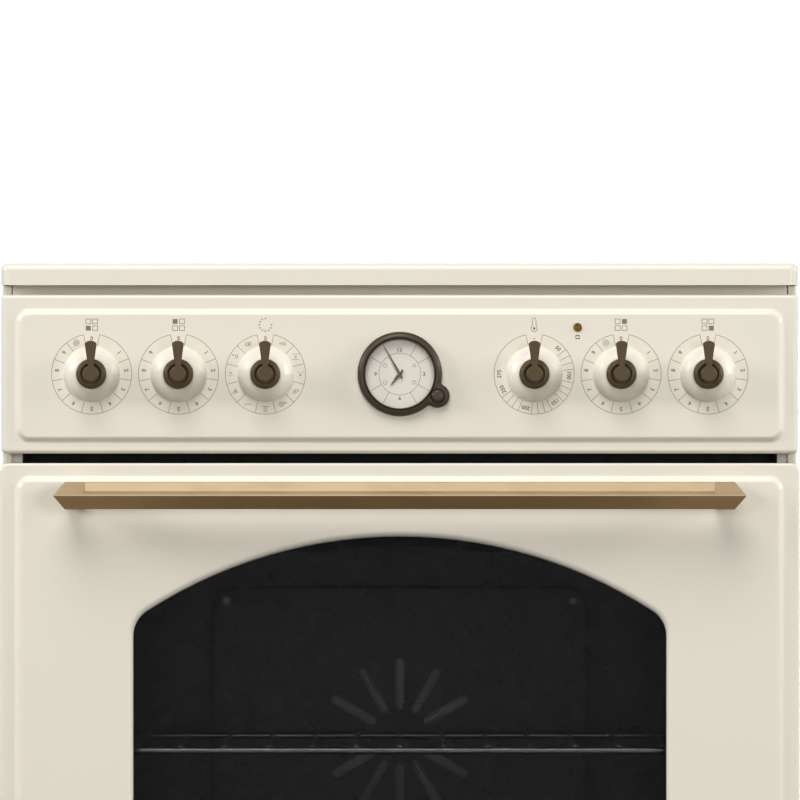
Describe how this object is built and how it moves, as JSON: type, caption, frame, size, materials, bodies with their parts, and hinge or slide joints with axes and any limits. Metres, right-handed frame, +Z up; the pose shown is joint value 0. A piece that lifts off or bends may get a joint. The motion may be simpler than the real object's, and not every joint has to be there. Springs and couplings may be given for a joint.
{
  "type": "freestanding cooker",
  "caption": "Freestanding electric cooker with a glass hob, a pointer-knob control panel with a clock, a drop-down oven door with an arched window, and a storage drawer.",
  "frame": {"origin": "on the floor, at the middle of the width and of the whole depth with the handle", "axes": "+X to the right seen from the front, +Y to the back, +Z up; the front faces -Y"},
  "size_m": [0.6, 0.6446, 0.85],
  "materials": {
    "cream_enamel": "gloss vitreous enamel",
    "black_enamel": "satin enamel",
    "oven_enamel": "gloss speckled enamel",
    "galvanised": "zinc coated",
    "antique_brass": "brushed, lacquered",
    "bronze_metal": "dark bronze",
    "knob_bronze": "satin dark bronze",
    "collar_cream": "gloss",
    "switch_plastic": "moulded",
    "hob_glass": "black glass ceramic",
    "window_glass": "tinted",
    "clear_glass": "clear",
    "dial_paper": "matt print ground",
    "hand_black": "painted black, satin",
    "amber_lens": "translucent",
    "seal_rubber": "matt",
    "mineral_wool": "wool",
    "heater_ceramic": "pressed fibre",
    "heater_wire": "oxidised ribbon",
    "chrome_wire": "polished",
    "steel": "bright",
    "foot_plastic": "moulded"
  },
  "bodies": {
    "cooker": {"worktop_frame": "cream_enamel", "hob_glass": "hob_glass", "hob_gasket": "seal_rubber", "radiant_heaters": "heater_ceramic", "heater_ribbons": "heater_wire", "hob_undertray": "cream_enamel", "control_panel": "cream_enamel", "switch_rail": "galvanised", "knob_collars": "collar_cream", "hob_regulators": "switch_plastic", "function_selector": "switch_plastic", "oven_thermostat": "switch_plastic", "clock_bezel": "bronze_metal", "clock_dial": "dial_paper", "clock_lens": "clear_glass", "clock_movement": "switch_plastic", "indicator_lamp": "amber_lens", "oven_cavity": "oven_enamel", "oven_front_frame": "black_enamel", "oven_insulation": "mineral_wool", "door_gasket": "seal_rubber", "shelf_guide_left": "chrome_wire", "shelf_guide_right": "chrome_wire", "wire_shelf": "chrome_wire", "baking_tray": "oven_enamel", "grill_element": "heater_wire", "ring_element": "heater_wire", "fan_cover": "oven_enamel", "fan_motor": "galvanised", "oven_lamp": "clear_glass", "door_hinge_brackets": "steel", "drawer_runners": "galvanised", "side_panel_left": "cream_enamel", "side_panel_right": "cream_enamel", "back_panel": "galvanised", "base_frame": "galvanised", "terminal_cover": "foot_plastic"},
    "door": {"door_panel": "cream_enamel", "door_liner": "black_enamel", "door_window_glass": "window_glass", "door_inner_glass": "window_glass", "door_handle": "antique_brass", "door_hinge_knuckles": "steel"},
    "drawer": {"drawer_front": "cream_enamel", "drawer_box": "galvanised"},
    "minute_hand": {"clock_minute_hand": "hand_black"},
    "hour_hand": {"clock_hour_hand": "hand_black"},
    "set_stem": {"clock_set_stem": "steel"},
    "set_knob": {"clock_set_knob": "bronze_metal"},
    "oven_fan": {"fan_impeller": "steel"},
    "knob_front_left": {"knob_front_left": "knob_bronze"},
    "knob_rear_left": {"knob_rear_left": "knob_bronze"},
    "knob_function": {"knob_function": "knob_bronze"},
    "knob_thermostat": {"knob_thermostat": "knob_bronze"},
    "knob_rear_right": {"knob_rear_right": "knob_bronze"},
    "knob_front_right": {"knob_front_right": "knob_bronze"},
    "foot_front_left": {"foot_front_left": "foot_plastic"},
    "foot_front_right": {"foot_front_right": "foot_plastic"},
    "foot_rear_left": {"foot_rear_left": "foot_plastic"},
    "foot_rear_right": {"foot_rear_right": "foot_plastic"}
  },
  "joints": [
    {"name": "door_hinge", "type": "hinge", "parent": "cooker", "child": "door", "pos_m": [0, -0.26675, 0.259], "axis": [1, 0, 0], "range_deg": [0, 90], "stiffness_Nm_per_rad": 6, "springref_deg": -17.19},
    {"name": "drawer_slide", "type": "slide", "parent": "cooker", "child": "drawer", "axis": [0, -1, 0], "range_m": [0, 0.35]},
    {"name": "knob_front_left_turn", "type": "hinge", "parent": "cooker", "child": "knob_front_left", "pos_m": [-0.2311, -0.27765, 0.7673], "axis": [0, 1, 0], "range_deg": [0, 334]},
    {"name": "knob_rear_left_turn", "type": "hinge", "parent": "cooker", "child": "knob_rear_left", "pos_m": [-0.16595, -0.27765, 0.7673], "axis": [0, 1, 0], "range_deg": [0, 308]},
    {"name": "knob_function_turn", "type": "hinge", "parent": "cooker", "child": "knob_function", "pos_m": [-0.1008, -0.27765, 0.7673], "axis": [0, 1, 0], "continuous": true},
    {"name": "knob_thermostat_turn", "type": "hinge", "parent": "cooker", "child": "knob_thermostat", "pos_m": [0.1008, -0.27765, 0.7673], "axis": [0, 1, 0], "range_deg": [0, 270]},
    {"name": "knob_rear_right_turn", "type": "hinge", "parent": "cooker", "child": "knob_rear_right", "pos_m": [0.16595, -0.27765, 0.7673], "axis": [0, 1, 0], "range_deg": [0, 334]},
    {"name": "knob_front_right_turn", "type": "hinge", "parent": "cooker", "child": "knob_front_right", "pos_m": [0.2311, -0.27765, 0.7673], "axis": [0, 1, 0], "range_deg": [0, 308]},
    {"name": "minute_hand_turn", "type": "hinge", "parent": "cooker", "child": "minute_hand", "pos_m": [0, -0.27765, 0.7673], "axis": [0, 1, 0], "continuous": true},
    {"name": "hour_hand_turn", "type": "hinge", "parent": "cooker", "child": "hour_hand", "pos_m": [0, -0.27765, 0.7673], "axis": [0, 1, 0], "continuous": true},
    {"name": "set_stem_push", "type": "slide", "parent": "cooker", "child": "set_stem", "axis": [0, 1, 0], "range_m": [0, 0.002], "stiffness_N_per_m": 400, "springref_m": -0.001},
    {"name": "set_knob_turn", "type": "hinge", "parent": "set_stem", "child": "set_knob", "pos_m": [0.02841, -0.27765, 0.7509], "axis": [0, 1, 0], "continuous": true},
    {"name": "oven_fan_spin", "type": "hinge", "parent": "cooker", "child": "oven_fan", "pos_m": [0, 0.18075, 0.48], "axis": [0, 1, 0], "continuous": true},
    {"name": "foot_front_left_screw", "type": "hinge", "parent": "cooker", "child": "foot_front_left", "pos_m": [-0.2489, -0.21475, 0.04], "axis": [0, 0, 1], "continuous": true},
    {"name": "foot_front_right_screw", "type": "hinge", "parent": "cooker", "child": "foot_front_right", "pos_m": [0.2489, -0.21475, 0.04], "axis": [0, 0, 1], "continuous": true},
    {"name": "foot_rear_left_screw", "type": "hinge", "parent": "cooker", "child": "foot_rear_left", "pos_m": [-0.2489, 0.25225, 0.04], "axis": [0, 0, 1], "continuous": true},
    {"name": "foot_rear_right_screw", "type": "hinge", "parent": "cooker", "child": "foot_rear_right", "pos_m": [0.2489, 0.25225, 0.04], "axis": [0, 0, 1], "continuous": true}
  ],
  "couplings": [
    {"joint": "hour_hand_turn", "follows": "minute_hand_turn", "ratio": 0.083333}
  ]
}
